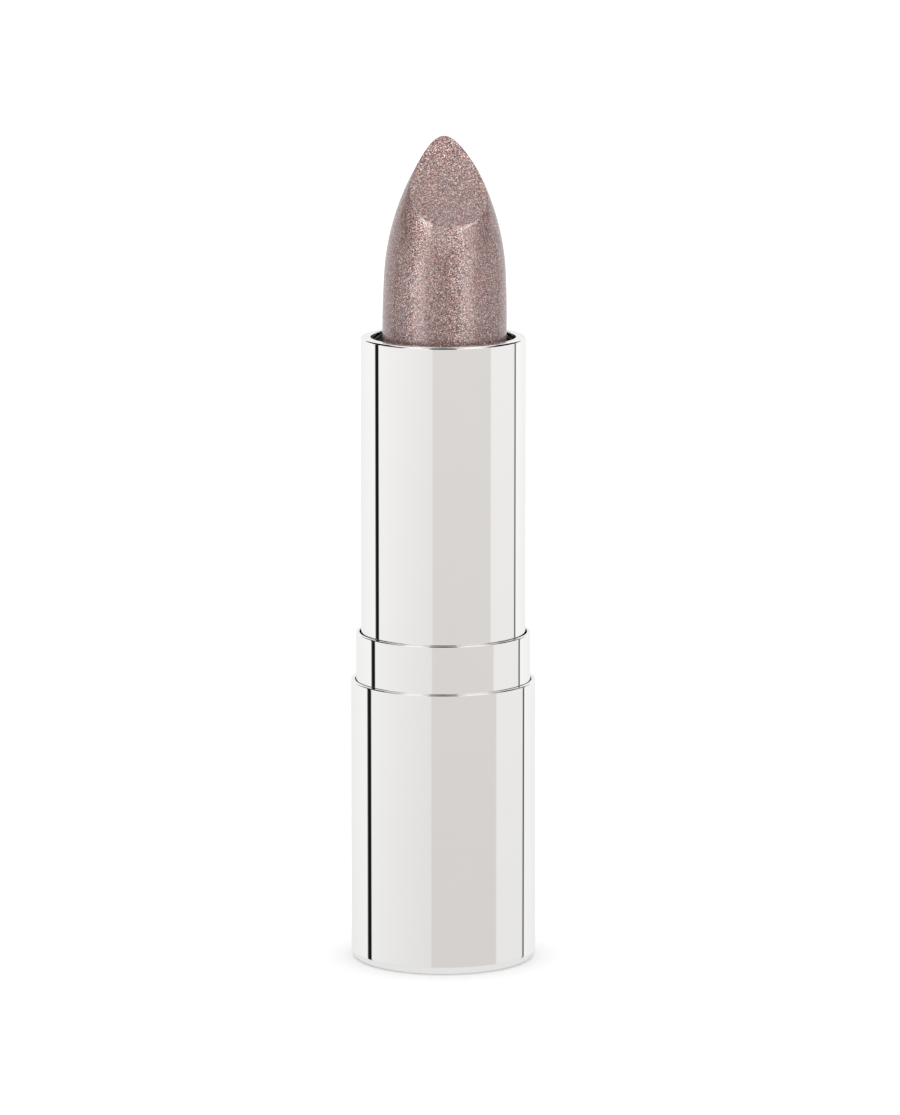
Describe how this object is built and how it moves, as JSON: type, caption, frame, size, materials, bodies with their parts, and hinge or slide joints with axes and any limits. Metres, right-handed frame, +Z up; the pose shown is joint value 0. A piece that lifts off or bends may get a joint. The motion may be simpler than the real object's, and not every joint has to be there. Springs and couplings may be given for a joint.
{
  "type": "lipstick case",
  "caption": "Twist-up lipstick case in mirror-bright aluminium with a slanted bullet wound up; turning the upper tube winds the bullet down inside it.",
  "frame": {"origin": "centre of the base's underside, on the surface that the case stands on", "axes": "+Z up along the case's axis, towards the bullet's tip; the bullet's slanted facet faces -Y"},
  "size_m": [0.0182, 0.0182, 0.0808],
  "materials": {
    "mirror_aluminium": "polished, bright anodised aluminium",
    "mechanism_plastic": "black moulded plastic",
    "liner_plastic": "white moulded plastic",
    "weight_steel": "turned steel",
    "label_paper": "blank coated paper",
    "lipstick_wax": "satin wax full of fine metallic glitter"
  },
  "bodies": {
    "base": {"base_shell": "mirror_aluminium", "base_liner": "liner_plastic", "base_weight": "weight_steel", "base_label": "label_paper", "collar_ring": "mirror_aluminium", "guide_tube": "mechanism_plastic"},
    "barrel": {"upper_tube": "mirror_aluminium", "cam_sleeve": "mechanism_plastic"},
    "carrier": {"bullet_cup": "mechanism_plastic", "lipstick_bullet": "lipstick_wax"}
  },
  "joints": [
    {"name": "twist", "type": "hinge", "parent": "base", "child": "barrel", "pos_m": [0, 0, 0.0275], "axis": [0, 0, 1], "range_deg": [0, 540]},
    {"name": "bullet_lift", "type": "slide", "parent": "base", "child": "carrier", "axis": [0, 0, 1], "range_m": [-0.0216, 0]}
  ],
  "couplings": [
    {"joint": "bullet_lift", "follows": "twist", "m_per_rad": -0.0022918}
  ]
}
